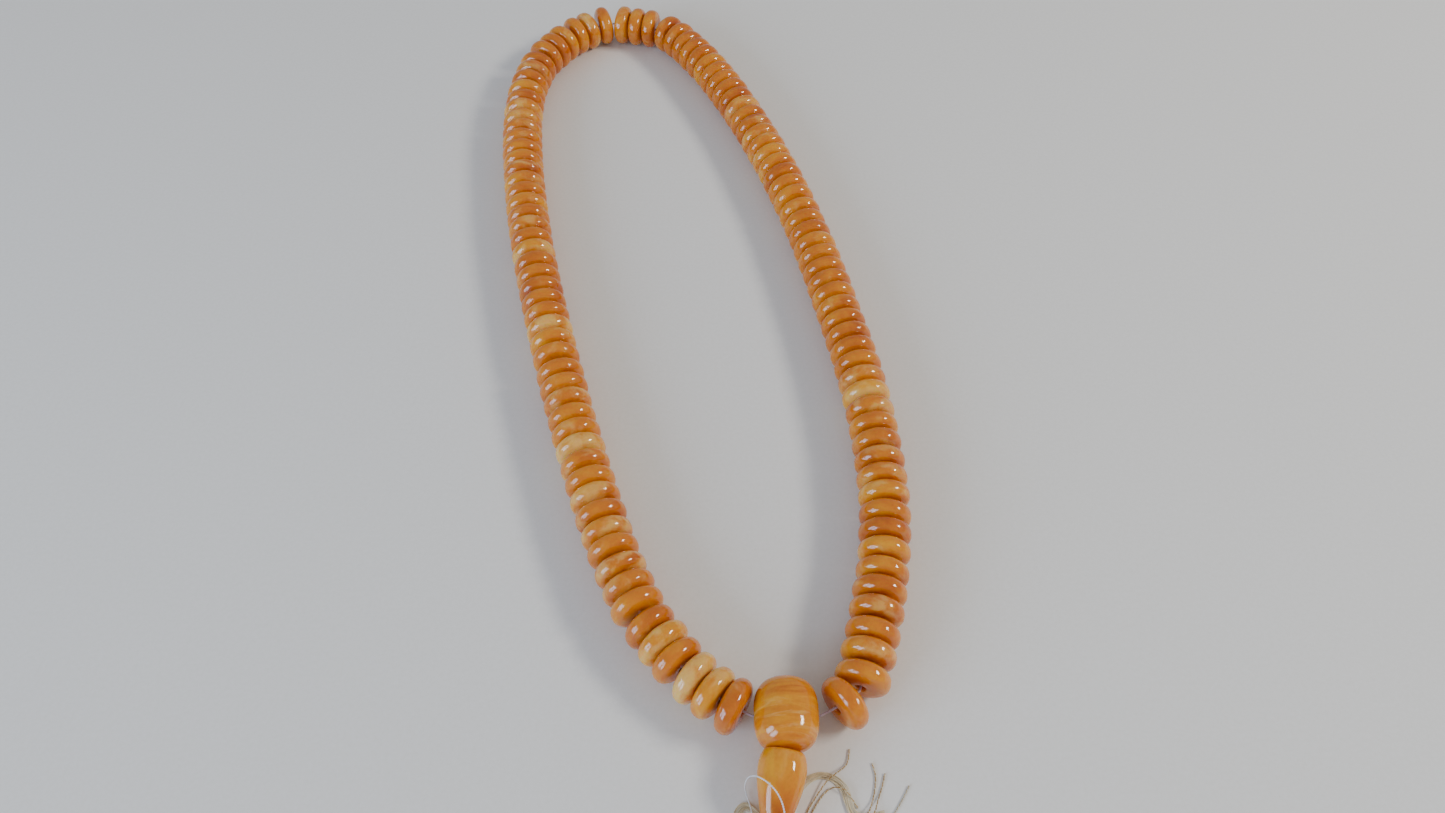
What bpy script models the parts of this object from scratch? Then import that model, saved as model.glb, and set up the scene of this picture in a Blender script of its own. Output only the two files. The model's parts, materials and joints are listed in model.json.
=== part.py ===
"""Prayer bead necklace (mala).

A hundred and eight flat round beads on one cord, closed by a three-way guru bead. The cord's two ends
leave the guru bead through its front hole, pass through a tower bead and are knotted, and loose thread
ends spread out from the knot. Metres, +Z up, lying on the floor at z = 0.
"""
import math

import bpy
from mathutils import Matrix, Vector

MM = 0.001

# Driving sizes
BEAD_DIAMETER = 14.0 * MM
BEAD_PITCH = 5.65 * MM
BEAD_GAP = 0.4 * MM
BEAD_FACE_RADIUS = 4.3 * MM
BEAD_RIM_WIDTH = 2.2 * MM
BORE_DIAMETER = 2.4 * MM
BEAD_SIDES = 12
GURU_DIAMETER = 15.4 * MM
GURU_LENGTH = 17.0 * MM
GURU_SIDES = 16
TOWER_DIAMETER = 11.6 * MM
TOWER_LENGTH = 23.0 * MM
TOWER_SIDES = 12
CORD_DIAMETER = 0.6 * MM
STEM_DIAMETER = 1.1 * MM
KNOT_DIAMETER = 3.4 * MM
KNOT_LENGTH = 3.6 * MM
FLOSS_DIAMETER = 0.8 * MM
THREAD_DIAMETER = 0.4 * MM

# Where things stand
GURU_AT = Vector((30.0, -128.2, 7.7)) * MM
CORD_HEIGHT = 7.2 * MM
CORD_END_GAP = 0.3 * MM
CLEARANCE = 0.4 * MM
RIGHT_SLACK = 1.8 * MM
LEFT_SLACK = 0.9 * MM
PIVOT_GAP = 0.9 * MM
SWING_PIVOT = Vector((0.0, -5.0, 0.0)) * MM
TOWER_TOP = Vector((-0.8, -9.3, -0.15)) * MM
TOWER_DIRECTION = Vector((-3.4, -20.4, -3.8)).normalized()

# The stem's route: points from the guru bead's centre, then distances down the tower bead's axis
STEM_IN_GURU = [Vector((0.0, -1.3, 0.0)) * MM, Vector((0.0, -4.6, -0.02)) * MM, Vector((-0.1, -7.2, -0.05)) * MM]
STEM_IN_TOWER = (2.0 * MM, 8.0 * MM, TOWER_LENGTH)
STEM_KNOT_GAP = 0.05 * MM

# The strand's route on the floor, in millimetres from the guru bead, from its right hole to its left one
STRAND_ROUTE = [
    (8.2, 0.0), (13.6, 0.9), (18.2, 6.4), (20.5, 13.6), (22.3, 20.0), (24.0, 26.4), (27.3, 41.0), (29.3, 59.5),
    (28.9, 76.0), (26.6, 100.5), (21.6, 127.5), (14.4, 161.0), (4.4, 196.0), (-8.3, 230.0), (-21.6, 258.0),
    (-31.5, 273.0), (-40.0, 281.5), (-49.5, 285.8), (-60.0, 285.8), (-69.5, 281.5), (-78.0, 273.5),
    (-84.8, 263.0), (-88.4, 250.0), (-89.4, 235.0), (-88.4, 218.0), (-84.8, 192.0), (-78.6, 160.0),
    (-70.8, 129.0), (-61.8, 97.0), (-53.3, 70.0), (-44.2, 44.0), (-35.4, 25.0), (-27.8, 14.6), (-19.6, 7.4),
    (-13.2, 2.3), (-8.2, 0.0),
]

# Beads turned as one piece, in order from the guru bead's right hole: 108 in all
GROUP_SIZES = [1, 1, 2] + [3] * 15 + [1, 1, 3, 1, 2] + [3] * 16 + [1] * 3
FLEX_AFTER_BEADS = (31, 51, 54, 87)

# The loose threads' routes, in millimetres from the point of the floor under the guru bead
TAIL_ROUTES = {
    "tail_white_loop": [
        (-7.3, -33.6, 3.2), (-8.3, -30.0, 1.8), (-8.6, -25.0, 1.0), (-8.5, -20.5, 1.4), (-9.5, -16.8, 0.6),
        (-9.9, -14.9, 1.8), (-9.4, -14.0, 4.3), (-8.4, -14.2, 7.2), (-6.9, -15.5, 10.6), (-4.9, -17.2, 12.0),
        (-3.0, -19.2, 11.8), (-1.7, -21.6, 10.6), (-1.1, -24.6, 8.9), (-1.0, -28.2, 7.0), (-0.8, -31.3, 4.9),
        (-2.3, -33.9, 3.5),
    ],
    "tail_floss": [
        (-2.7, -35.0, 1.8), (-0.9, -31.4, 0.45), (0.2, -25.0, 0.45), (1.6, -18.0, 0.45), (4.3, -13.6, 0.45),
        (8.0, -11.9, 0.45), (11.4, -12.9, 0.45), (13.5, -15.2, 0.45), (14.2, -18.2, 0.45), (15.3, -20.8, 0.45),
        (18.4, -21.5, 0.45), (22.6, -20.8, 0.45),
    ],
    "tail_floss_short": [
        (-6.9, -36.4, 1.6), (-9.6, -34.0, 0.6), (-11.7, -30.0, 0.45), (-12.4, -25.0, 0.45), (-11.8, -21.0, 0.45),
        (-10.2, -19.2, 0.45), (-8.2, -19.9, 0.45), (-6.6, -21.6, 0.45), (-5.6, -24.4, 0.45), (-5.1, -27.6, 0.45),
    ],
    "tail_gold_1": [
        (-3.3, -36.0, 1.6), (0.0, -32.2, 0.3), (1.4, -28.6, 0.3), (3.0, -23.5, 0.3), (5.2, -19.2, 0.3),
        (9.0, -14.0, 1.0), (11.4, -12.0, 1.5), (14.4, -9.4, 0.5), (15.4, -5.7, 0.3),
    ],
    "tail_gold_2": [
        (-3.9, -36.9, 1.5), (0.8, -33.2, 0.3), (2.6, -28.8, 0.3), (4.3, -23.2, 0.3), (6.6, -18.9, 0.3),
        (9.0, -15.9, 0.3), (11.2, -14.9, 0.9), (13.5, -15.6, 1.5), (15.2, -17.6, 0.6), (16.4, -19.5, 0.3),
    ],
    "tail_gold_3": [
        (-4.7, -37.4, 1.4), (2.0, -34.8, 0.3), (9.4, -29.8, 0.3), (15.2, -25.0, 0.6), (18.2, -21.4, 1.5),
        (20.0, -17.6, 0.4), (21.1, -12.6, 0.3), (20.6, -9.0, 0.3),
    ],
    "tail_gold_4": [
        (-5.5, -37.8, 1.3), (2.2, -36.2, 0.3), (10.0, -31.4, 0.3), (16.2, -26.2, 0.6), (19.7, -21.3, 1.5),
        (21.4, -17.2, 0.4), (22.6, -14.2, 0.3), (23.4, -11.5, 0.3),
    ],
    "tail_silver": [
        (-6.2, -38.5, 0.9), (2.4, -38.2, 0.3), (11.0, -34.0, 0.3), (18.4, -27.2, 0.3), (24.4, -21.0, 0.3),
        (26.9, -17.6, 0.3), (28.9, -14.3, 0.3),
    ],
}


def clear_scene():
    """Remove every object that the file opened with."""
    for item in list(bpy.data.objects):
        bpy.data.objects.remove(item, do_unlink=True)


def new_collection(name):
    """Return a new collection linked under the scene."""
    collection = bpy.data.collections.new(name)
    bpy.context.scene.collection.children.link(collection)
    return collection


def new_material(name, colour, roughness, metallic=0.0):
    """Return a Principled material."""
    material = bpy.data.materials.new(name)
    material.use_nodes = True
    shader = material.node_tree.nodes["Principled BSDF"]
    shader.inputs["Base Color"].default_value = (*colour, 1.0)
    shader.inputs["Roughness"].default_value = roughness
    shader.inputs["Metallic"].default_value = metallic
    material.diffuse_color = (*colour, 1.0)
    return material


def smooth_curve(points, per_span=24):
    """Return points along a Catmull-Rom curve through the given ones."""
    ends = [points[0] * 2.0 - points[1]] + list(points) + [points[-1] * 2.0 - points[-2]]
    curve = []
    for span in range(len(points) - 1):
        before, start, finish, after = ends[span:span + 4]
        for step in range(per_span):
            t = step / per_span
            bend = (before * 2.0 - start * 5.0 + finish * 4.0 - after) * t * t
            twist = (start * 3.0 - before - finish * 3.0 + after) * t * t * t
            curve.append((start * 2.0 + (finish - before) * t + bend + twist) * 0.5)
    curve.append(points[-1].copy())
    return curve


def stations(curve, inner_offset=0.0):
    """Return the running length at each point of a curve, measured at a distance inside its bends."""
    lengths = [0.0]
    for index in range(1, len(curve)):
        step = curve[index] - curve[index - 1]
        turn = 0.0
        if index + 1 < len(curve):
            turn = step.angle(curve[index + 1] - curve[index])
        lengths.append(lengths[-1] + step.length - inner_offset * turn)
    return lengths


def point_at(curve, lengths, wanted):
    """Return the curve's point at a running length."""
    for index in range(1, len(curve)):
        if lengths[index] >= wanted:
            share = (wanted - lengths[index - 1]) / (lengths[index] - lengths[index - 1])
            return curve[index - 1].lerp(curve[index], share)
    return curve[-1].copy()


def even_points(points, spacing):
    """Return points at one spacing along a smooth curve through the given ones."""
    curve = smooth_curve(points)
    lengths = stations(curve)
    count = max(2, round(lengths[-1] / spacing))
    return [point_at(curve, lengths, lengths[-1] * step / count) for step in range(count + 1)]


def place(item, collection, world, parent=None):
    """Link an object, put it under its parent and give it its place in the world."""
    collection.objects.link(item)
    item.parent = parent
    if parent is None:
        item.matrix_basis = world
    else:
        item.matrix_basis = PLACES[parent.name].inverted() @ world
    PLACES[item.name] = world
    return item


def new_pivot(name, location, parent=None):
    """Return an empty that stands on a joint's axis."""
    pivot = bpy.data.objects.new(name, None)
    pivot.empty_display_size = 4.0 * MM
    return place(pivot, PARTS, Matrix.Translation(location), parent)


def turned_mesh(name, profile):
    """Return a mesh that holds a closed profile of (radius, height) points, top of the outer side first."""
    mesh = bpy.data.meshes.new(name)
    vertices = [(radius, 0.0, height) for radius, height in profile]
    count = len(vertices)
    mesh.from_pydata(vertices, [(index, (index + 1) % count) for index in range(count)], [])
    return mesh


def turned_object(name, mesh, sides, material, world, parent, collection):
    """Return a turned piece: the profile carried round its own Z axis."""
    item = bpy.data.objects.new(name, mesh)
    place(item, collection, world, parent)
    if not mesh.materials:
        mesh.materials.append(material)
    slot = item.material_slots[0]
    slot.link = "OBJECT"
    slot.material = material
    screw = item.modifiers.new("turned", "SCREW")
    screw.axis = "Z"
    screw.steps = sides
    screw.render_steps = sides
    screw.use_merge_vertices = True
    screw.merge_threshold = 0.00001
    screw.use_smooth_shade = False
    return item


def lying_matrix(centre, direction, sides):
    """Return the place of a turned piece with its Z axis along a direction and a flat side down."""
    along = direction.normalized()
    down = Vector((0.0, 0.0, -1.0))
    down = (down - along * down.dot(along)).normalized()
    across = along.cross(down)
    turn = Matrix((down, across, along)).transposed().to_4x4()
    return Matrix.Translation(centre) @ turn @ Matrix.Rotation(-math.pi / sides, 4, "Z")


def corner_radius(radius, sides):
    """Return a polygon's corner radius from the radius to its flat sides."""
    return radius / math.cos(math.pi / sides)


def bead_profile(count):
    """Return the profile of some beads turned as one piece, with a groove between neighbours."""
    rim = corner_radius(BEAD_DIAMETER / 2.0, BEAD_SIDES)
    half = (count * BEAD_PITCH - BEAD_GAP) / 2.0
    profile = [(BEAD_FACE_RADIUS, half)]
    for index in range(count):
        middle = ((count - 1) / 2.0 - index) * BEAD_PITCH
        profile.append((rim, middle + BEAD_RIM_WIDTH / 2.0))
        profile.append((rim, middle - BEAD_RIM_WIDTH / 2.0))
        if index + 1 < count:
            profile.append((BEAD_FACE_RADIUS, middle - BEAD_PITCH / 2.0))
    profile += [(BEAD_FACE_RADIUS, -half), (BORE_DIAMETER / 2.0, -half), (BORE_DIAMETER / 2.0, half)]
    return profile


def new_tube(name, points, diameter, material, pivot, parent):
    """Return a cord piece: a tube along points of the world, with its origin on its joint's axis."""
    curve = bpy.data.curves.new(name, "CURVE")
    curve.dimensions = "3D"
    curve.bevel_depth = diameter / 2.0
    curve.bevel_resolution = 2
    curve.use_fill_caps = True
    spline = curve.splines.new("POLY")
    spline.points.add(len(points) - 1)
    for spot, point in zip(spline.points, points):
        spot.co = (*(point - pivot), 1.0)
    curve.materials.append(material)
    item = bpy.data.objects.new(name, curve)
    return place(item, PARTS, Matrix.Translation(pivot), parent)


def cylinder_cutter(name, start, finish):
    """Return a bore's cutter from one point to another."""
    along = finish - start
    bpy.ops.mesh.primitive_cylinder_add(
        vertices=BEAD_SIDES, radius=BORE_DIAMETER / 2.0, depth=along.length,
        location=(start + finish) / 2.0, rotation=along.to_track_quat("Z", "Y").to_euler(),
    )
    cutter = bpy.context.object
    cutter.name = name
    for owner in list(cutter.users_collection):
        owner.objects.unlink(cutter)
    CUTTERS.objects.link(cutter)
    cutter.display_type = "WIRE"
    cutter.hide_render = True
    return cutter


def make_guru():
    """Make the barrel that the strand's two ends and the tower's stem meet in, and the cord inside it."""
    outer = corner_radius(GURU_DIAMETER / 2.0, GURU_SIDES)
    half = GURU_LENGTH / 2.0
    outline = [(0.0, 1.0), (0.45, 1.0), (0.72, 0.9), (0.91, 0.66), (1.0, 0.28)]
    profile = [(outer * across, half * along) for across, along in outline]
    profile += [(radius, -height) for radius, height in reversed(profile)]
    mesh = bpy.data.meshes.new("guru_bead")
    vertices = [(radius, 0.0, height) for radius, height in profile]
    mesh.from_pydata(vertices, [(index, index + 1) for index in range(len(vertices) - 1)], [])
    world = lying_matrix(GURU_AT, Vector((0.0, -1.0, 0.0)), GURU_SIDES)
    guru = turned_object("guru_bead", mesh, GURU_SIDES, AMBER_GURU, world, None, PARTS)
    side = Vector((GURU_DIAMETER, 0.0, 0.0))
    front = Vector((0.0, -GURU_LENGTH, 0.0))
    cutters = (
        cylinder_cutter("cross_bore_cutter", GURU_AT - side, GURU_AT + side),
        cylinder_cutter("front_bore_cutter", GURU_AT, GURU_AT + front),
    )
    for cutter in cutters:
        cut = guru.modifiers.new(cutter.name, "BOOLEAN")
        cut.operation = "DIFFERENCE"
        cut.object = cutter
        cut.solver = "EXACT"
    reach = Vector((STRAND_ROUTE[0][0] * MM - CORD_END_GAP / 2.0, 0.0, 0.0))
    level = Vector((GURU_AT.x, GURU_AT.y, CORD_HEIGHT))
    new_tube("guru_cross_cord", [level - reach, level, level + reach], CORD_DIAMETER, CORD, GURU_AT, None)


def make_pendant():
    """Make the stem with its knot and loose threads, which swing together, and the tower bead on it."""
    pivot_at = GURU_AT + SWING_PIVOT
    pivot = new_pivot("pendant_pivot", pivot_at)
    top = GURU_AT + TOWER_TOP
    knot_start = top + TOWER_DIRECTION * (TOWER_LENGTH + CLEARANCE)
    stem_route = [GURU_AT + point for point in STEM_IN_GURU]
    stem_route += [top + TOWER_DIRECTION * distance for distance in STEM_IN_TOWER]
    stem_route.append(knot_start - TOWER_DIRECTION * STEM_KNOT_GAP)
    new_tube("stem_cord", even_points(stem_route, STEM_DIAMETER * 2.5), STEM_DIAMETER, CORD, pivot_at, pivot)

    widest = corner_radius(TOWER_DIAMETER / 2.0, TOWER_SIDES)
    outline = [
        (0.74, 0.0), (0.89, 0.03), (0.98, 0.11), (1.0, 0.19), (0.94, 0.34), (0.79, 0.48), (0.65, 0.6),
        (0.54, 0.75), (0.46, 1.0),
    ]
    profile = [(widest * across, -TOWER_LENGTH * along) for across, along in outline]
    profile += [(BORE_DIAMETER / 2.0, -TOWER_LENGTH), (BORE_DIAMETER / 2.0, 0.0)]
    mesh = turned_mesh("tower_bead", profile)
    world = lying_matrix(top, -TOWER_DIRECTION, TOWER_SIDES)
    turned_object("tower_bead", mesh, TOWER_SIDES, AMBER_TOWER, world, pivot, PARTS)

    radius = corner_radius(KNOT_DIAMETER / 2.0, BEAD_SIDES)
    outline = [(0.0, 0.0), (0.55, 0.02), (0.95, 0.25), (0.88, 0.5), (1.0, 0.72), (0.6, 0.98), (0.0, 1.0)]
    mesh = bpy.data.meshes.new("end_knot")
    vertices = [(radius * across, 0.0, -KNOT_LENGTH * along) for across, along in outline]
    mesh.from_pydata(vertices, [(index, index + 1) for index in range(len(vertices) - 1)], [])
    world = lying_matrix(knot_start, -TOWER_DIRECTION, BEAD_SIDES)
    turned_object("end_knot", mesh, BEAD_SIDES, CORD, world, pivot, PARTS)

    floor_under_guru = Vector((GURU_AT.x, GURU_AT.y, 0.0))
    for name, route in TAIL_ROUTES.items():
        diameter = FLOSS_DIAMETER if "floss" in name else THREAD_DIAMETER
        points = even_points([floor_under_guru + Vector(point) * MM for point in route], diameter * 3.0)
        new_tube(name, points, diameter, THREADS[name.split("_")[1]], pivot_at, pivot)


def strand_groups():
    """Return each bead group's first bead, size, start and end along the strand's route."""
    origin = Vector((GURU_AT.x, GURU_AT.y, BEAD_DIAMETER / 2.0))
    curve = smooth_curve([origin + Vector((x, y, 0.0)) * MM for x, y in STRAND_ROUTE])
    lengths = stations(curve, BEAD_FACE_RADIUS)
    free = lengths[-1] - RIGHT_SLACK - LEFT_SLACK - PIVOT_GAP * len(FLEX_AFTER_BEADS)
    pitch = free / sum(GROUP_SIZES)
    print("bead pitch on the inner side, mm:", round(pitch / MM, 3))
    groups = []
    bead = 1
    at = RIGHT_SLACK
    for size in GROUP_SIZES:
        start = point_at(curve, lengths, at)
        finish = point_at(curve, lengths, at + size * pitch)
        groups.append((bead, size, start, finish))
        bead += size
        at += size * pitch
        if bead - 1 in FLEX_AFTER_BEADS:
            at += PIVOT_GAP
    return groups


def group_name(bead, size):
    """Return a bead group's name from the numbers of its first and last bead."""
    if size == 1:
        return f"bead_{bead:03d}"
    return f"beads_{bead:03d}_{bead + size - 1:03d}"


def make_strand():
    """Make the bead groups and the cord, in five links that flex where they meet."""
    groups = strand_groups()
    centre = Vector((GURU_AT.x, GURU_AT.y, BEAD_DIAMETER / 2.0))
    right_hole = centre + Vector((*STRAND_ROUTE[0], 0.0)) * MM
    left_hole = centre + Vector((*STRAND_ROUTE[-1], 0.0)) * MM
    ends = {bead + size - 1: index for index, (bead, size, _, _) in enumerate(groups)}
    flexes = []
    for bead in FLEX_AFTER_BEADS:
        index = ends[bead]
        flexes.append((index + 1, (groups[index][3] + groups[index + 1][2]) / 2.0))
    (third, right_flex), (fourth, top_right), (fifth, top_left), (sixth, left_flex) = flexes
    right_lower = new_pivot("right_lower_pivot", right_hole)
    right_upper = new_pivot("right_upper_pivot", right_flex, right_lower)
    left_lower = new_pivot("left_lower_pivot", left_hole)
    left_upper = new_pivot("left_upper_pivot", left_flex, left_lower)
    top = new_pivot("top_pivot", top_left, left_upper)
    links = [
        ("right_lower_cord", right_lower, 0, third, right_hole, right_flex),
        ("right_upper_cord", right_upper, third, fourth, right_flex, top_right),
        ("top_cord", top, fourth, fifth, top_right, top_left),
        ("left_upper_cord", left_upper, fifth, sixth, top_left, left_flex),
        ("left_lower_cord", left_lower, sixth, len(groups), left_flex, left_hole),
    ]
    meshes = {size: turned_mesh(f"beads_{size}", bead_profile(size)) for size in (1, 2, 3)}
    lift = Vector((0.0, 0.0, CORD_HEIGHT - BEAD_DIAMETER / 2.0))
    for name, pivot, first, last, start, finish in links:
        route = []
        for index in range(first, last):
            bead, size, near, far = groups[index]
            middle = (near + far) / 2.0
            world = lying_matrix(middle, far - near, BEAD_SIDES)
            shade = AMBERS[index % len(AMBERS)]
            turned_object(group_name(bead, size), meshes[size], BEAD_SIDES, shade, world, pivot, PARTS)
            route += [near, middle, far]
        route = [start] + route[1:-1] + [finish]
        route[0] = route[0] + (route[1] - route[0]).normalized() * CORD_END_GAP / 2.0
        route[-1] = route[-1] + (route[-2] - route[-1]).normalized() * CORD_END_GAP / 2.0
        points = [point + lift for point in route]
        spaced = [points[0]]
        for point in points[1:]:
            if (point - spaced[-1]).length > CORD_DIAMETER:
                spaced.append(point)
        new_tube(name, spaced, CORD_DIAMETER, CORD, PLACES[pivot.name].translation, pivot)


clear_scene()
PLACES = {}
PARTS = new_collection("prayer_necklace")
CUTTERS = new_collection("cutters")
AMBERS = [
    new_material("bead_amber", (0.72, 0.24, 0.025), 0.12),
    new_material("bead_honey", (0.78, 0.31, 0.05), 0.12),
    new_material("bead_deep_amber", (0.6, 0.17, 0.015), 0.12),
    new_material("bead_cream_amber", (0.8, 0.42, 0.13), 0.12),
]
AMBER_GURU = new_material("guru_amber", (0.75, 0.3, 0.04), 0.1)
AMBER_TOWER = new_material("tower_amber", (0.74, 0.27, 0.03), 0.1)
CORD = new_material("mauve_cord", (0.55, 0.44, 0.47), 0.6)
THREADS = {
    "white": new_material("white_thread", (0.78, 0.8, 0.78), 0.4),
    "floss": new_material("beige_floss", (0.6, 0.5, 0.3), 0.7),
    "gold": new_material("gold_thread", (0.4, 0.24, 0.05), 0.45, 0.3),
    "silver": new_material("silver_thread", (0.6, 0.58, 0.5), 0.4, 0.3),
}
make_guru()
make_pendant()
make_strand()
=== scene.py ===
import json
import math
import random

import bpy
from mathutils import Matrix, Vector


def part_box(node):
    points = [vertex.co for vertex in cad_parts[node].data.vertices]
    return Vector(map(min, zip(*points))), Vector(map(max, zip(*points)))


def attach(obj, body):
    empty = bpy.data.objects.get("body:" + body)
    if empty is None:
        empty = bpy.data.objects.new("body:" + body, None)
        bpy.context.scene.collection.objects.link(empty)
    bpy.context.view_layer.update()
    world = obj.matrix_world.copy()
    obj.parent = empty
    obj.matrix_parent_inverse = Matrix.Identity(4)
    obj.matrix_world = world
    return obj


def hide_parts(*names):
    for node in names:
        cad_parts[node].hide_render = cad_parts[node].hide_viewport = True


MM = 0.001
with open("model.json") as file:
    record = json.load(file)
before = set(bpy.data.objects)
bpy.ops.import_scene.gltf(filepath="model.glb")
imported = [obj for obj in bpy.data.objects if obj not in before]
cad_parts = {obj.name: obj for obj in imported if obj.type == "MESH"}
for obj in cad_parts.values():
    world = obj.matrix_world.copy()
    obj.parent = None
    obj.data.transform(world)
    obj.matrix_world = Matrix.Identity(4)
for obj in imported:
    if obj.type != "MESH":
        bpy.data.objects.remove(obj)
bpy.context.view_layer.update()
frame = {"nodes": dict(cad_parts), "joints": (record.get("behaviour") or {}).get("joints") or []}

# Sizes of the real pieces
BEAD_RADIUS = 7.2 * MM
BEAD_PITCH = 5.65 * MM
BEAD_THICKNESS = 5.66 * MM
BEAD_FACE_RADIUS = 3.2 * MM
BORE_RADIUS = 1.2 * MM
BEAD_SEGMENTS = 48
BEAD_UNEVENNESS = 0.006
SHARE_TOWARDS_GROUP_AXIS = 0.7
GURU_RADIUS = 7.7 * MM
GURU_HALF_LENGTH = 8.85 * MM
GURU_ROUNDNESS = 2.9
GURU_WIDENING = 1.02
TOWER_RADIUS = 5.8 * MM
TOWER_LENGTH = 23.0 * MM
THREAD_DIAMETER = 0.4 * MM
FLOSS_DIAMETER = 0.8 * MM
CORD_DIAMETER = 0.6 * MM
FLOSS_FILAMENTS = 11
KNOT_SIZE_MM = 0.35
KNOT_HEIGHT_MM = 1.05

# Camera: the lens and its place over the floor under the guru bead, from the spacing of the beads
CAMERA_SENSOR_MM = 36.0
CAMERA_LENS_MM = 25.59
CAMERA_PLACE = (-0.0152, -0.0875, 0.2483)
CAMERA_DOWNWARD_TILT = 53.3

# Linear colours of the resin and of the lights
HONEY = (0.78, 0.345, 0.005)
AMBER = (0.65, 0.205, 0.002)
DEEP_AMBER = (0.44, 0.09, 0.001)
MILK = (0.84, 0.54, 0.15)
WINDOW_BLUE = (0.58, 0.74, 1.0)
WARM_WHITE = (1.0, 0.96, 0.9)

guru_low, guru_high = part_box("guru_bead")
GURU = (guru_low + guru_high) / 2.0
FLOOR_UNDER_GURU = Vector((GURU.x, GURU.y, 0.0))
JOINTS = {joint["name"]: joint for joint in frame["joints"]}
RANDOM = random.Random(108)

# How much cream a bead shows, 0 to 1, for those that show it clearly; the others' is drawn from CREAM_ELSEWHERE.
# Bead 1 is right of the guru bead.
CREAM_BEADS = {
    1: 0.45, 3: 0.5, 11: 0.5, 12: 0.45, 14: 0.5, 16: 0.55, 17: 0.75, 56: 0.7, 66: 0.65, 72: 0.6, 79: 0.75, 85: 0.7,
    90: 0.65, 93: 0.85, 94: 0.55, 96: 0.55, 98: 0.6, 100: 0.6, 104: 0.65, 106: 0.85, 107: 0.7,
}
CREAM_ELSEWHERE = (0.14, 0.22, 0.3, 0.37, 0.43)

# How far some beads are slipped along the cord, towards the bead before where positive: 55 for the gap that the
# photograph shows behind it, the others to stay clear of their neighbours
BEAD_SLIPS = {55: 0.3 * MM, 60: 0.15 * MM, 61: -0.15 * MM, 108: 0.35 * MM}

# The loose threads' routes, in millimetres from the point of the floor under the guru bead
TAIL_ROUTES = {
    "tail_white_loop": [
        (-7.3, -33.6, 3.2), (-8.3, -30.0, 1.8), (-8.6, -25.0, 1.0), (-8.5, -20.5, 1.4), (-9.5, -16.8, 0.6),
        (-9.9, -14.9, 1.8), (-9.4, -14.0, 4.3), (-8.4, -14.2, 7.2), (-6.9, -15.5, 10.6), (-4.9, -17.2, 12.0),
        (-3.0, -19.2, 11.8), (-1.7, -21.6, 10.6), (-1.1, -24.6, 8.9), (-1.0, -28.2, 7.0), (-0.8, -31.3, 4.9),
        (-2.3, -33.9, 3.5),
    ],
    "tail_floss": [
        (-2.7, -35.0, 1.8), (-0.9, -31.4, 0.45), (0.2, -25.0, 0.45), (1.6, -18.0, 0.45), (4.3, -13.6, 0.45),
        (8.0, -11.9, 0.45), (11.4, -12.9, 0.45), (13.5, -15.2, 0.45), (14.2, -18.2, 0.45), (15.3, -20.8, 0.45),
        (18.4, -21.5, 0.45), (22.6, -20.8, 0.45),
    ],
    "tail_floss_short": [
        (-6.9, -36.4, 1.6), (-9.6, -34.0, 0.6), (-11.7, -30.0, 0.45), (-12.4, -25.0, 0.45), (-11.8, -21.0, 0.45),
        (-10.2, -19.2, 0.45), (-8.2, -19.9, 0.45), (-6.6, -21.6, 0.45), (-5.6, -24.4, 0.45), (-5.1, -27.6, 0.45),
    ],
    "tail_gold_1": [
        (-3.3, -36.0, 1.6), (0.0, -32.2, 0.3), (1.4, -28.6, 0.3), (3.0, -23.5, 0.3), (5.2, -19.2, 0.3),
        (9.0, -14.0, 1.0), (11.4, -12.0, 1.5), (14.4, -9.4, 0.5), (15.4, -5.7, 0.3),
    ],
    "tail_gold_2": [
        (-3.9, -36.9, 1.5), (0.8, -33.2, 0.3), (2.6, -28.8, 0.3), (4.3, -23.2, 0.3), (6.6, -18.9, 0.3),
        (9.0, -15.9, 0.3), (11.2, -14.9, 0.9), (13.5, -15.6, 1.5), (15.2, -17.6, 0.6), (16.4, -19.5, 0.3),
    ],
    "tail_gold_3": [
        (-4.7, -37.4, 1.4), (2.0, -34.8, 0.3), (9.4, -29.8, 0.3), (15.2, -25.0, 0.6), (18.2, -21.4, 1.5),
        (20.0, -17.6, 0.4), (21.1, -12.6, 0.3), (20.6, -9.0, 0.3),
    ],
    "tail_gold_4": [
        (-5.5, -37.8, 1.3), (2.2, -36.2, 0.3), (10.0, -31.4, 0.3), (16.2, -26.2, 0.6), (19.7, -21.3, 1.5),
        (21.4, -17.2, 0.4), (22.6, -14.2, 0.3), (23.4, -11.5, 0.3),
    ],
    "tail_silver": [
        (-6.2, -38.5, 0.9), (2.4, -38.2, 0.3), (11.0, -34.0, 0.3), (18.4, -27.2, 0.3), (24.4, -21.0, 0.3),
        (26.9, -17.6, 0.3), (28.9, -14.3, 0.3),
    ],
}


# ---------------------------------------------------------------- camera, lights and floor

def add_camera():
    """Make the camera at the photograph's viewing angle."""
    data = bpy.data.cameras.new("camera")
    data.sensor_width = CAMERA_SENSOR_MM
    data.lens = CAMERA_LENS_MM
    camera = bpy.data.objects.new("camera", data)
    camera.location = FLOOR_UNDER_GURU + Vector(CAMERA_PLACE)
    camera.rotation_euler = (math.radians(90.0 - CAMERA_DOWNWARD_TILT), 0.0, 0.0)
    bpy.context.scene.collection.objects.link(camera)
    bpy.context.scene.camera = camera


def add_light(name, offset, energy, width, height, colour):
    """Make a rectangular softbox that looks at the guru bead from an offset."""
    data = bpy.data.lights.new(name, "AREA")
    data.shape = "RECTANGLE"
    data.size = width
    data.size_y = height
    data.energy = energy
    data.color = colour
    light = bpy.data.objects.new(name, data)
    light.location = GURU + Vector(offset)
    light.rotation_euler = (-Vector(offset)).to_track_quat("-Z", "Y").to_euler()
    bpy.context.scene.collection.objects.link(light)


# ---------------------------------------------------------------- materials

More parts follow.
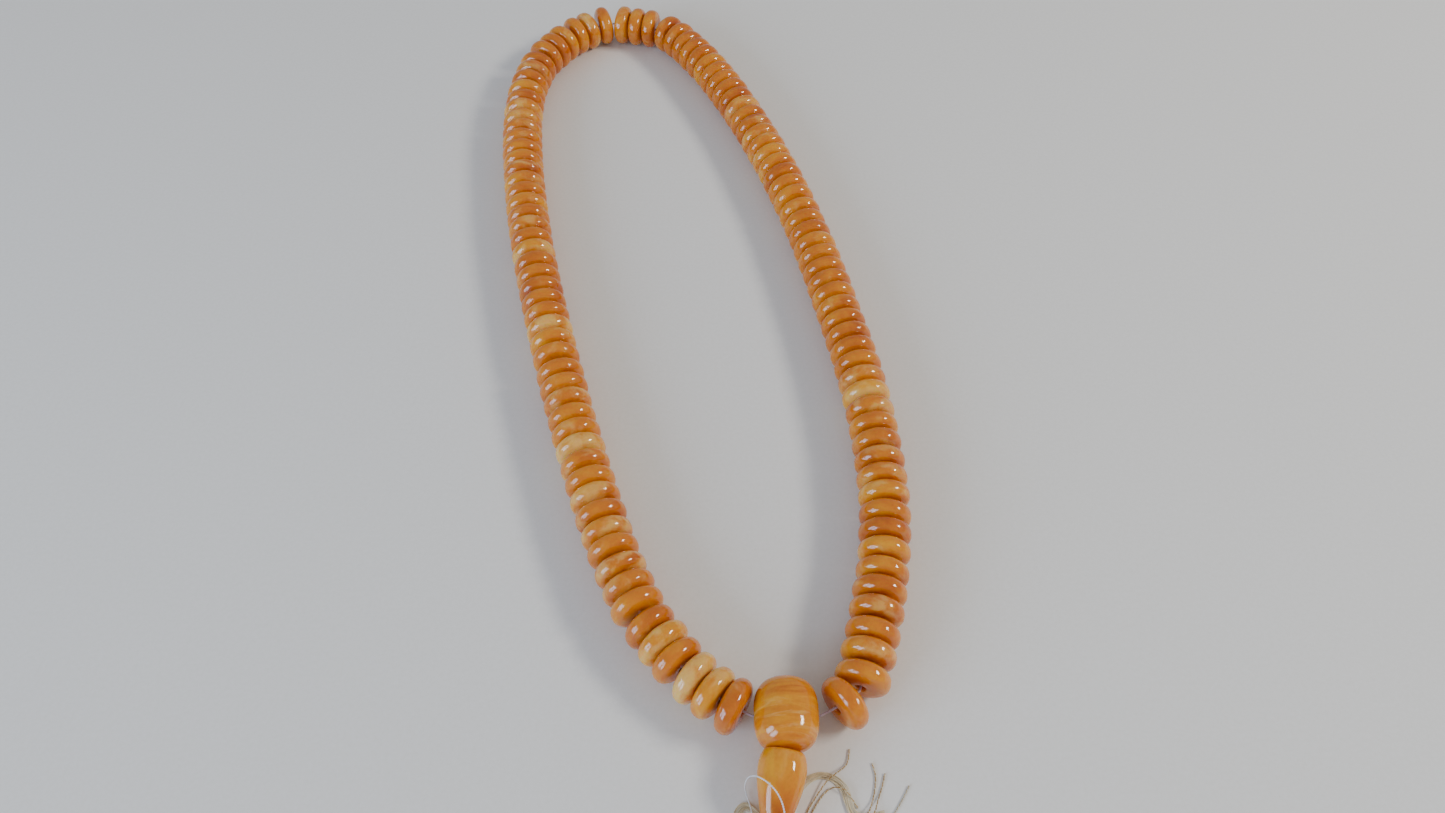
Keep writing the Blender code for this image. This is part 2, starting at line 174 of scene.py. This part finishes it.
class Shading:
    """A material with a Principled shader and short calls that add and wire its nodes."""

    def __init__(self, name):
        self.material = bpy.data.materials.new(name)
        self.material.use_nodes = True
        self.tree = self.material.node_tree
        self.shader = self.tree.nodes["Principled BSDF"]

    def feed(self, socket, value):
        if isinstance(value, bpy.types.NodeSocket):
            self.tree.links.new(value, socket)
        else:
            socket.default_value = value

    def add(self, kind, values, **settings):
        node = self.tree.nodes.new(kind)
        for key, value in settings.items():
            setattr(node, key, value)
        for key, value in values.items():
            self.feed(node.inputs[key], value)
        return node

    def set(self, **values):
        for key, value in values.items():
            self.feed(self.shader.inputs[key.replace("_", " ")], value)

    def local(self):
        return self.add("ShaderNodeTexCoord", {}).outputs["Object"]

    def noise(self, where, scale, detail=3.0, roughness=0.5):
        values = {"Vector": where, "Scale": scale, "Detail": detail, "Roughness": roughness}
        return self.add("ShaderNodeTexNoise", values)

    def ramp(self, factor, stops):
        node = self.add("ShaderNodeValToRGB", {"Fac": factor})
        ramp = node.color_ramp
        while len(ramp.elements) < len(stops):
            ramp.elements.new(0.5)
        for element, (position, colour) in zip(ramp.elements, stops):
            element.position = position
            element.color = (*colour, 1.0)
        return node.outputs["Color"]

    def mix(self, factor, first, second, blend_type="MIX"):
        node = self.tree.nodes.new("ShaderNodeMix")
        node.data_type = "RGBA"
        node.blend_type = blend_type
        colours = [socket for socket in node.inputs if socket.type == "RGBA"]
        self.feed(node.inputs["Factor"], factor)
        self.feed(colours[0], first)
        self.feed(colours[1], second)
        return [socket for socket in node.outputs if socket.type == "RGBA"][0]

    def sum(self, first, second, operation="ADD"):
        return self.add("ShaderNodeMath", {0: first, 1: second}, operation=operation).outputs[0]

    def between(self, value, low, high, to_low=0.0, to_high=1.0):
        values = {"Value": value, "From Min": low, "From Max": high, "To Min": to_low, "To Max": to_high}
        return self.add("ShaderNodeMapRange", values, interpolation_type="SMOOTHSTEP").outputs["Result"]

    def bump(self, height, strength, distance):
        node = self.add("ShaderNodeBump", {"Height": height, "Strength": strength, "Distance": distance})
        self.set(Normal=node.outputs["Normal"])


def amber_resin(name, stretch, scale):
    """Polished translucent resin: swirled amber tones, milky cream marbling and fine flecks.

    A piece's mesh carries three attributes: grain (its points' places in the pattern), tone (0 honey, 1 deep; on
    the beads it also holds painted shade towards the faces where they touch) and cream (how much of it is milky).
    """
    look = Shading(name)
    grain = look.add("ShaderNodeAttribute", {}, attribute_name="grain").outputs["Vector"]
    tone = look.add("ShaderNodeAttribute", {}, attribute_name="tone").outputs["Fac"]
    milk = look.add("ShaderNodeAttribute", {}, attribute_name="cream").outputs["Fac"]
    where = look.add("ShaderNodeVectorMath", {0: grain, 1: stretch}, operation="MULTIPLY").outputs["Vector"]

    swirl = look.noise(where, scale * 0.55, 2.0).outputs["Color"]
    swirl = look.add("ShaderNodeVectorMath", {0: swirl, "Scale": 0.011}, operation="SCALE").outputs["Vector"]
    swirled = look.add("ShaderNodeVectorMath", {0: where, 1: swirl}, operation="ADD").outputs["Vector"]
    marble = look.noise(swirled, scale, 5.0, 0.55).outputs["Fac"]
    streaks = look.noise(swirled, scale * 2.6, 4.0, 0.6).outputs["Fac"]
    clouds = look.noise(swirled, scale * 1.25, 3.0, 0.5).outputs["Fac"]

    toned = look.sum(marble, look.sum(tone, 0.5, "SUBTRACT"))
    body = look.ramp(toned, [(0.22, HONEY), (0.5, AMBER), (0.82, DEEP_AMBER)])
    level = look.between(milk, 0.0, 1.0, 0.62, 0.3)
    wisps = look.sum(look.sum(streaks, 0.5, "SUBTRACT"), 0.45, "MULTIPLY")
    milky = look.between(look.sum(clouds, wisps), level, look.sum(level, 0.24))
    milky = look.sum(milky, look.between(milk, 0.0, 1.0, 0.3, 0.8), "MULTIPLY")
    colour = look.mix(milky, body, (*MILK, 1.0))
    specks = look.noise(grain, 1500.0, 2.0).outputs["Fac"]
    flecks = look.ramp(specks, [(0.35, (0.9, 0.86, 0.8)), (0.6, (1, 1, 1))])
    colour = look.mix(0.6, colour, flecks, "MULTIPLY")
    look.set(Base_Color=colour)

    polish = look.noise(grain, 260.0, 4.0, 0.6).outputs["Fac"]
    look.set(Roughness=look.between(polish, 0.35, 0.75, 0.06, 0.15))
    look.set(IOR=1.54, Subsurface_Weight=0.75, Subsurface_Radius=(1.0, 0.45, 0.06), Subsurface_Scale=5.0 * MM)
    look.set(Coat_Weight=0.35, Coat_Roughness=0.04)
    look.bump(look.noise(grain, 190.0, 3.0).outputs["Fac"], 0.12, 0.35 * MM)
    return look.material


def thread_fibre(name, dark, light, metallic, roughness, sheen):
    """Fine fibre: shade varies along and across the yarn, with tiny fibre bumps."""
    look = Shading(name)
    local = look.local()
    coarse = look.noise(local, 420.0, 3.0).outputs["Fac"]
    fine = look.noise(local, 6500.0, 3.0, 0.65).outputs["Fac"]
    blend = look.sum(look.sum(coarse, 0.45, "MULTIPLY"), look.sum(fine, 0.55, "MULTIPLY"))
    look.set(Base_Color=look.ramp(blend, [(0.36, dark), (0.6, light)]))
    look.set(Roughness=look.between(fine, 0.3, 0.7, roughness - 0.08, roughness + 0.12))
    look.set(Metallic=metallic, Sheen_Weight=sheen, Sheen_Roughness=0.4)
    look.bump(fine, 0.5, 0.03 * MM)
    return look.material


def pale_floor():
    """A plain pale sheet with the faintest tooth."""
    look = Shading("floor")
    grain = look.noise(look.local(), 900.0, 4.0, 0.6).outputs["Fac"]
    look.set(Base_Color=look.ramp(grain, [(0.3, (0.8, 0.79, 0.75)), (0.7, (0.84, 0.83, 0.8))]))
    look.set(Roughness=0.75)
    look.bump(grain, 0.08, 0.1 * MM)
    return look.material


# ---------------------------------------------------------------- shapes

def smooth_curve(points, per_span=40):
    """Return points along a Catmull-Rom curve through the given ones."""
    ends = [points[0] * 2.0 - points[1]] + list(points) + [points[-1] * 2.0 - points[-2]]
    curve = []
    for span in range(len(points) - 1):
        before, start, finish, after = ends[span:span + 4]
        for step in range(per_span):
            t = step / per_span
            bend = (before * 2.0 - start * 5.0 + finish * 4.0 - after) * t * t
            twist = (start * 3.0 - before - finish * 3.0 + after) * t * t * t
            curve.append((start * 2.0 + (finish - before) * t + bend + twist) * 0.5)
    curve.append(points[-1].copy())
    return curve


def running_lengths(curve):
    """Return the running length at each point of a curve."""
    lengths = [0.0]
    for before, after in zip(curve, curve[1:]):
        lengths.append(lengths[-1] + (after - before).length)
    return lengths


def even_points(points, spacing):
    """Return evenly spaced points on a smooth curve through the given ones, and the curve's length."""
    curve = smooth_curve(points)
    lengths = running_lengths(curve)
    count = max(2, round(lengths[-1] / spacing))
    spaced = []
    index = 1
    for step in range(count + 1):
        wanted = lengths[-1] * step / count
        while index < len(curve) - 1 and lengths[index] < wanted:
            index += 1
        span = lengths[index] - lengths[index - 1]
        spaced.append(curve[index - 1].lerp(curve[index], (wanted - lengths[index - 1]) / span))
    return spaced, lengths[-1]


def finished(name, mesh, materials, sharp=50.0):
    """Return a linked, smooth-shaded object with its materials."""
    for item in materials:
        mesh.materials.append(item)
    mesh.shade_smooth()
    mesh.set_sharp_from_angle(angle=math.radians(sharp))
    piece = bpy.data.objects.new(name, mesh)
    bpy.context.scene.collection.objects.link(piece)
    return piece


def lathe_mesh(name, profile, segments, closed, wobble=0.0):
    """Return a turned mesh from a (radius, height) profile; closed joins its last point to its first."""
    phase = RANDOM.uniform(0.0, math.tau)
    vertices = []
    for radius, height in profile:
        for segment in range(segments):
            angle = math.tau * segment / segments
            uneven = 1.0 - wobble * (0.5 + 0.5 * math.sin(2.0 * angle + phase))
            vertices.append((radius * uneven * math.cos(angle), radius * uneven * math.sin(angle), height))
    faces = []
    rings = len(profile)
    for ring in range(rings if closed else rings - 1):
        above = ring * segments
        below = (ring + 1) % rings * segments
        for segment in range(segments):
            after = (segment + 1) % segments
            faces.append((above + segment, below + segment, below + after, above + after))
    if not closed:
        faces.append(tuple(range(segments)))
        faces.append(tuple(reversed(range((rings - 1) * segments, rings * segments))))
    mesh = bpy.data.meshes.new(name)
    mesh.from_pydata(vertices, [], faces)
    mesh.validate()
    return mesh


def paint(mesh, shift, tone, cream):
    """Store the resin's grain, tone and cream on a mesh; tone and cream are functions of a point."""
    grain = [value for vertex in mesh.vertices for value in vertex.co + shift]
    mesh.attributes.new("grain", "FLOAT_VECTOR", "POINT").data.foreach_set("vector", grain)
    for name, amount in (("tone", tone), ("cream", cream)):
        data = mesh.attributes.new(name, "FLOAT", "POINT").data
        data.foreach_set("value", [amount(vertex.co) for vertex in mesh.vertices])


def random_shift():
    """Return a seeded place in the resin's pattern."""
    return Vector([RANDOM.uniform(-1.0, 1.0) for _ in range(3)])


def standing(centre, axis):
    """Return the place of a turned piece whose Z axis lies along an axis."""
    return Matrix.Translation(centre) @ axis.normalized().to_track_quat("Z", "Y").to_matrix().to_4x4()


def bundle(name, points, strands, radius, offsets, materials, sides=6):
    """Return one mesh of several strands that follow the same points.

    offsets(strand, along, share) gives a strand's place across the bundle at a running length and share of it.
    """
    lengths = running_lengths(points)
    side = None
    frames = []
    for index in range(len(points)):
        ahead = points[min(index + 1, len(points) - 1)] - points[max(index - 1, 0)]
        ahead.normalize()
        if side is None:
            side = ahead.cross(Vector((0.0, 0.0, 1.0)))
        side = (side - ahead * side.dot(ahead)).normalized()
        frames.append((side.copy(), side.cross(ahead)))
    vertices = []
    faces = []
    slots = []
    for strand in range(strands):
        first = len(vertices)
        for index, point in enumerate(points):
            across, up = frames[index]
            u, v = offsets(strand, lengths[index], lengths[index] / lengths[-1])
            centre = point + across * u + up * v
            for corner in range(sides):
                angle = math.tau * corner / sides
                vertices.append(centre + (across * math.cos(angle) + up * math.sin(angle)) * radius)
        for ring in range(len(points) - 1):
            near = first + ring * sides
            for corner in range(sides):
                after = (corner + 1) % sides
                faces.append((near + corner, near + sides + corner, near + sides + after, near + after))
        faces.append(tuple(first + corner for corner in range(sides)))
        last = first + (len(points) - 1) * sides
        faces.append(tuple(last + corner for corner in reversed(range(sides))))
        slots += [strand % len(materials)] * (len(faces) - len(slots))
    mesh = bpy.data.meshes.new(name)
    mesh.from_pydata([tuple(vertex) for vertex in vertices], [], faces)
    mesh.polygons.foreach_set("material_index", slots)
    return finished(name, mesh, materials, 75.0)


def twisted(plies, radius, turn):
    """Return bundle offsets for plies that wind round each other, one turn in a given length."""
    def offsets(strand, along, share):
        angle = math.tau * (along / turn + strand / plies)
        return radius * math.cos(angle), radius * math.sin(angle)
    return offsets


# ---------------------------------------------------------------- threads

def make_threads():
    """Make the eight loose threads: twisted pairs, and flat floss of many filaments."""
    for name, route in TAIL_ROUTES.items():
        kind = name.split("_")[1]
        diameter = FLOSS_DIAMETER if kind == "floss" else THREAD_DIAMETER
        corners = [FLOOR_UNDER_GURU + Vector(point) * MM for point in route]
        points, length = even_points(corners, 0.11 * MM if kind != "floss" else 0.3 * MM)
        if kind == "floss":
            lanes = [(RANDOM.uniform(0.6, 1.7), RANDOM.uniform(0.0, math.tau)) for _ in range(FLOSS_FILAMENTS)]
            middle = (FLOSS_FILAMENTS - 1) / 2.0

            def offsets(strand, along, share, lanes=lanes, middle=middle):
                waves, phase = lanes[strand]
                spread = 0.38 + 0.42 * min(1.0, share * 2.0)
                wander = math.sin(math.tau * waves * along / (14.0 * MM) + phase)
                u = (strand - middle) / middle * spread + 0.13 * wander
                return u * MM, (0.16 * math.sin(phase * 3.0 + along / (3.1 * MM)) - 0.06) * MM

            piece = bundle(name + "_strands", points, FLOSS_FILAMENTS, 0.12 * MM, offsets, FLOSS_LOOKS)
        else:
            offsets = twisted(2, diameter * 0.24, 1.15 * MM if kind != "gold" else 1.5 * MM)
            piece = bundle(name + "_twist", points, 2, diameter * 0.25, offsets, THREAD_LOOKS[kind])
        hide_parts(name)
        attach(piece, "pendant")


def make_knot():
    """Make the knot that ends the two cords below the tower bead: a tight trefoil of a three-ply cord."""
    low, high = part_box("end_knot")
    place = standing((low + high) / 2.0, Vector(JOINTS["tower_spin"]["axis"]))
    points = []
    for step in range(121):
        t = math.tau * step / 120.0
        across = math.sin(t) + 2.0 * math.sin(2.0 * t)
        along = math.cos(t) - 2.0 * math.cos(2.0 * t)
        up = -KNOT_HEIGHT_MM * math.sin(3.0 * t)
        points.append(place @ (Vector((across * KNOT_SIZE_MM, along * KNOT_SIZE_MM, up)) * MM))
    piece = bundle("end_knot_cord", points, 3, 0.29 * MM, twisted(3, 0.28 * MM, 1.7 * MM), [CORD_LOOK], 8)
    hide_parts("end_knot")
    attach(piece, "pendant")


def make_guru_cord():
    """Make the twisted length of main cord that shows either side of the guru bead."""
    low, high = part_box("guru_cross_cord")
    level = (low.z + high.z) / 2.0
    reach = high.x - GURU.x + 0.25 * MM
    corners = [Vector((GURU.x + reach * share, GURU.y, level)) for share in (-1.0, -0.5, 0.0, 0.5, 1.0)]
    points, _ = even_points(corners, 0.12 * MM)
    plies = twisted(3, CORD_DIAMETER * 0.25, CORD_DIAMETER * 2.2)
    piece = bundle("guru_cord_twist", points, 3, CORD_DIAMETER * 0.26, plies, [CORD_LOOK], 8)
    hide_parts("guru_cross_cord")
    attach(piece, "guru")


# ---------------------------------------------------------------- beads

def bead_profile(thickness, radius):
    """Return a rondelle's profile: rounded bore mouths, slightly dished faces and a full round rim."""
    half = thickness / 2.0
    steps = 11
    side = [
        (BORE_RADIUS, half - 0.9 * MM), (BORE_RADIUS, half - 0.5 * MM), (BORE_RADIUS + 0.07 * MM, half - 0.3 * MM),
        (BORE_RADIUS + 0.25 * MM, half - 0.14 * MM), (BORE_RADIUS + 0.6 * MM, half - 0.05 * MM),
    ]
    for step in range(steps + 1):
        angle = math.pi / 2.0 * step / steps
        out = math.sin(angle) ** 0.84
        rise = math.cos(angle) ** 0.84 if step < steps else 0.0
        side.append((BEAD_FACE_RADIUS + (radius - BEAD_FACE_RADIUS) * out, half * rise))
    return side + [(across, -height) for across, height in reversed(side[:-1])]


def strand_groups():
    """Return the bead groups along the strand: first and last number, body, node, centre and direction."""
    groups = []
    for joint in frame["joints"]:
        body = joint["child"]
        if not body.startswith("bead"):
            continue
        node = body[:-len("_body")]
        numbers = [int(part) for part in node.split("_")[1:]]
        low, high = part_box(node)
        centre = (low + high) / 2.0
        axis = Vector(joint["axis"])
        if joint["type"] == "slide":
            axis = -axis
        if "pos_m" in joint:
            centre = Vector(joint["pos_m"])
        centre.z = 0.0
        groups.append((numbers[0], numbers[-1], body, node, centre, axis.normalized()))
    return sorted(groups, key=lambda group: group[0])


def hermite(start, finish, leave, arrive, t):
    """Return the point and direction at t on the curve from one group's centre to the next one's."""
    leave = leave * (finish - start).length
    arrive = arrive * (finish - start).length
    point = start * (2 * t ** 3 - 3 * t ** 2 + 1) + leave * (t ** 3 - 2 * t ** 2 + t)
    point += finish * (3 * t ** 2 - 2 * t ** 3) + arrive * (t ** 3 - t ** 2)
    slope = start * (6 * t ** 2 - 6 * t) + leave * (3 * t ** 2 - 4 * t + 1)
    slope += finish * (6 * t - 6 * t ** 2) + arrive * (3 * t ** 2 - 2 * t)
    return point, slope.normalized()


def make_beads():
    """Make all 108 beads one by one, each a little different, on a smooth line through their groups."""
    groups = strand_groups()
    for index, (first, last, body, node, centre, axis) in enumerate(groups):
        for number in range(first, last + 1):
            offset = (number - (first + last) / 2.0) * BEAD_PITCH
            if offset > 0.0:
                after, after_axis = groups[index + 1][-2:]
                spot, along = hermite(centre, after, axis, after_axis, offset / (after - centre).length)
            elif offset < 0.0:
                before, before_axis = groups[index - 1][-2:]
                share = 1.0 + offset / (centre - before).length
                spot, along = hermite(before, centre, before_axis, axis, share)
            else:
                spot, along = centre.copy(), axis
            spot = spot.lerp(centre + axis * offset, SHARE_TOWARDS_GROUP_AXIS)
            along = along.lerp(axis, SHARE_TOWARDS_GROUP_AXIS)
            spot -= along * BEAD_SLIPS.get(number, 0.0)
            radius = BEAD_RADIUS * RANDOM.uniform(0.982, 1.0)
            thickness = BEAD_THICKNESS * RANDOM.uniform(0.965, 1.0)
            spot.z = radius
            name = f"rondelle_{number:03d}"
            mesh = lathe_mesh(name, bead_profile(thickness, radius), BEAD_SEGMENTS, True, BEAD_UNEVENNESS)
            cream = CREAM_BEADS.get(number, RANDOM.choice(CREAM_ELSEWHERE))
            tone = RANDOM.uniform(0.38, 0.62) - (0.1 if cream > 0.6 else 0.0)

            # Darker towards the flat faces where beads touch: painted shade between neighbours, partly the resin's
            # own deeper colour there
            def bead_tone_and_face_shade(point, tone=tone, radius=radius):
                rim = math.hypot(point.x, point.y) / radius
                return tone + 0.3 * max(0.0, 0.93 - rim)

            paint(mesh, random_shift(), bead_tone_and_face_shade, lambda point, cream=cream: cream)
            piece = finished(name, mesh, [BEAD_RESIN])
            tilt = Matrix.Rotation(math.radians(RANDOM.uniform(-1.3, 1.3)), 4, "X")
            tilt = tilt @ Matrix.Rotation(math.radians(RANDOM.uniform(-0.8, 0.8)), 4, "Y")
            mesh.transform(standing(spot, along) @ tilt)
            if number == first:
                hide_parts(node)
            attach(piece, body)


def cut(piece, cutters):
    """Cut bores out of a piece and keep the result as its mesh."""
    for cutter in cutters:
        modifier = piece.modifiers.new(cutter.name, "BOOLEAN")
        modifier.operation = "DIFFERENCE"
        modifier.object = cutter
        modifier.solver = "EXACT"
    bpy.context.view_layer.update()
    shown = piece.evaluated_get(bpy.context.evaluated_depsgraph_get())
    mesh = bpy.data.meshes.new_from_object(shown)
    piece.modifiers.clear()
    piece.data = mesh
    for cutter in cutters:
        bpy.data.objects.remove(cutter, do_unlink=True)


def bore_cutter(name, axis, surface, through):
    """Return a bore's cutter, flared at the surface; it goes right through or starts at the middle."""
    mouth = [
        (BORE_RADIUS, surface - 0.8 * MM), (BORE_RADIUS + 0.35 * MM, surface - 0.1 * MM),
        (BORE_RADIUS + 0.7 * MM, surface + 2.0 * MM),
    ]
    if through:
        start = [(across, -along) for across, along in reversed(mouth)]
    else:
        start = [(0.02 * MM, 0.0), (BORE_RADIUS, 0.0)]
    mesh = lathe_mesh(name, list(reversed(start + mouth)), 32, False)
    cutter = bpy.data.objects.new(name, mesh)
    bpy.context.scene.collection.objects.link(cutter)
    cutter.matrix_world = standing(Vector((0.0, 0.0, 0.0)), axis)
    return cutter


def make_guru():
    """Make the guru bead: a fat barrel, faintly ringed with cream, with a bore across it and one in front."""
    profile = []
    steps = 36
    for step in range(steps + 1):
        angle = math.pi * step / steps
        across = abs(math.sin(angle)) ** (2.0 / GURU_ROUNDNESS)
        along = math.copysign(abs(math.cos(angle)) ** (2.0 / GURU_ROUNDNESS), math.cos(angle))
        profile.append((max(GURU_RADIUS * across, 0.05 * MM), GURU_HALF_LENGTH * along))
    piece = finished("guru_barrel", lathe_mesh("guru_barrel", profile, 96, False), [GURU_RESIN])
    right = Vector((1.0, 0.0, 0.0))
    front = Vector((0.0, 0.0, 1.0))
    cut(piece, [
        bore_cutter("cross_bore", right, GURU_RADIUS, True),
        bore_cutter("front_bore", front, GURU_HALF_LENGTH, False),
    ])
    piece.data.set_sharp_from_angle(angle=math.radians(35.0))

    def milk(point):
        rings = 0.5 + 0.5 * math.sin(point.z / (0.55 * MM))
        lower = max(0.0, 1.0 - abs(point.z - 2.6 * MM) / (4.6 * MM)) ** 0.5
        return 0.1 + 0.42 * lower + 0.06 * rings * lower

    def tone(point):
        edge = abs(point.z) / GURU_HALF_LENGTH
        return 0.36 + 0.22 * edge ** 4

    paint(piece.data, Vector((0.31, 0.12, 0.57)), tone, milk)
    widened = Matrix.Diagonal((GURU_WIDENING, 1.0, 1.0, 1.0))
    forward = standing(Vector((0.0, 0.0, 0.0)), Vector((0.0, -1.0, 0.0)))
    piece.data.transform(Matrix.Translation(GURU) @ widened @ forward)
    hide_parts("guru_bead")
    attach(piece, "guru")


def make_tower():
    """Make the tower bead: a round shoulder, then a long hollow taper to a thin, redder end."""
    joint = JOINTS["tower_spin"]
    down = Vector(joint["axis"]).normalized()
    low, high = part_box("tower_bead")
    if down.y > 0.0:
        down = -down
    rough_top = (low + high) / 2.0 - down * TOWER_LENGTH / 2.0
    pivot = Vector(joint["pos_m"])
    top = pivot + down * (rough_top - pivot).dot(down)
    outline = [
        (0.68, -0.013), (0.79, -0.003), (0.88, 0.022), (0.96, 0.085), (0.993, 0.13), (1.0, 0.18), (0.99, 0.24),
        (0.945, 0.33), (0.875, 0.41), (0.79, 0.49), (0.71, 0.56), (0.64, 0.62), (0.585, 0.69), (0.54, 0.76),
        (0.505, 0.84), (0.478, 0.92), (0.462, 0.97), (0.44, 0.99), (0.4, 1.0),
    ]
    corners = [Vector((across * TOWER_RADIUS, 0.0, along * TOWER_LENGTH)) for across, along in outline]
    outside = [(point.x, point.z) for point in smooth_curve(corners, 3)]
    mouth = [
        (0.6 * TOWER_RADIUS, -0.35 * MM), (0.4 * TOWER_RADIUS, -0.37 * MM), (BORE_RADIUS + 0.4 * MM, -0.3 * MM),
        (BORE_RADIUS + 0.1 * MM, 0.05 * MM), (BORE_RADIUS, 0.5 * MM),
    ]
    end = [
        (BORE_RADIUS + 0.5 * MM, TOWER_LENGTH), (BORE_RADIUS + 0.15 * MM, TOWER_LENGTH - 0.1 * MM),
        (BORE_RADIUS, TOWER_LENGTH - 0.5 * MM),
    ]
    profile = list(reversed(mouth)) + outside + end
    mesh = lathe_mesh("tower_turned", profile, 72, True)
    mesh.flip_normals()
    paint(
        mesh, Vector((0.83, 0.41, 0.2)), lambda point: 0.3 + 1.0 * max(0.0, point.z / TOWER_LENGTH - 0.3),
        lambda point: 0.28 if point.z < 0.45 * TOWER_LENGTH else 0.4,
    )
    mesh.transform(standing(top, down))
    piece = finished("tower_turned", mesh, [TOWER_RESIN])
    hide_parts("tower_bead")
    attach(piece, "tower")


# ---------------------------------------------------------------- the scene

add_camera()
CORD_LOOK = thread_fibre("mauve_cord", (0.4, 0.27, 0.33), (0.68, 0.55, 0.62), 0.0, 0.4, 0.3)
THREAD_LOOKS = {
    "white": [thread_fibre("white_yarn", (0.6, 0.62, 0.62), (0.9, 0.92, 0.92), 0.0, 0.35, 0.4)],
    "gold": [
        thread_fibre("gold_yarn", (0.28, 0.13, 0.02), (0.6, 0.36, 0.1), 0.35, 0.35, 0.1),
        thread_fibre("gold_pale_yarn", (0.5, 0.4, 0.2), (0.8, 0.72, 0.5), 0.4, 0.3, 0.1),
    ],
    "silver": [
        thread_fibre("silver_yarn", (0.4, 0.38, 0.3), (0.85, 0.83, 0.75), 0.5, 0.3, 0.1),
        thread_fibre("silver_gold_yarn", (0.45, 0.33, 0.14), (0.7, 0.58, 0.34), 0.4, 0.35, 0.1),
    ],
}
FLOSS_LOOKS = [
    thread_fibre("floss_pale", (0.6, 0.5, 0.3), (0.84, 0.76, 0.55), 0.0, 0.55, 0.3),
    thread_fibre("floss_warm", (0.5, 0.39, 0.2), (0.76, 0.65, 0.42), 0.0, 0.6, 0.3),
]
make_threads()
make_knot()
make_guru_cord()

BEAD_RESIN = amber_resin("bead_resin", (1.0, 1.0, 1.4), 110.0)
GURU_RESIN = amber_resin("guru_resin", (0.14, 0.14, 1.0), 430.0)
TOWER_RESIN = amber_resin("tower_resin", (1.0, 1.0, 0.45), 120.0)
make_guru()
make_tower()
make_beads()
for node in ("right_lower_cord", "right_upper_cord", "top_cord", "left_upper_cord", "left_lower_cord", "stem_cord"):
    for slot in frame["nodes"][node].material_slots:
        slot.material = CORD_LOOK

bpy.ops.mesh.primitive_plane_add(size=4.0)
floor = bpy.context.object
floor.name = "floor"
floor.data.materials.append(pale_floor())
add_light("key_window", (1.19, 0.02, 0.91), 13.0, 0.5, 0.24, WARM_WHITE)
add_light("side_window_left", (-1.16, -0.46, 0.42), 8.0, 0.38, 0.75, WINDOW_BLUE)
add_light("side_window_right", (-0.9, -0.86, 0.42), 8.0, 0.38, 0.75, WINDOW_BLUE)
world = bpy.data.worlds.new("world")
world.use_nodes = True
world.node_tree.nodes["Background"].inputs["Color"].default_value = (0.97, 0.97, 1.0, 1.0)
world.node_tree.nodes["Background"].inputs["Strength"].default_value = 0.42
bpy.context.scene.world = world
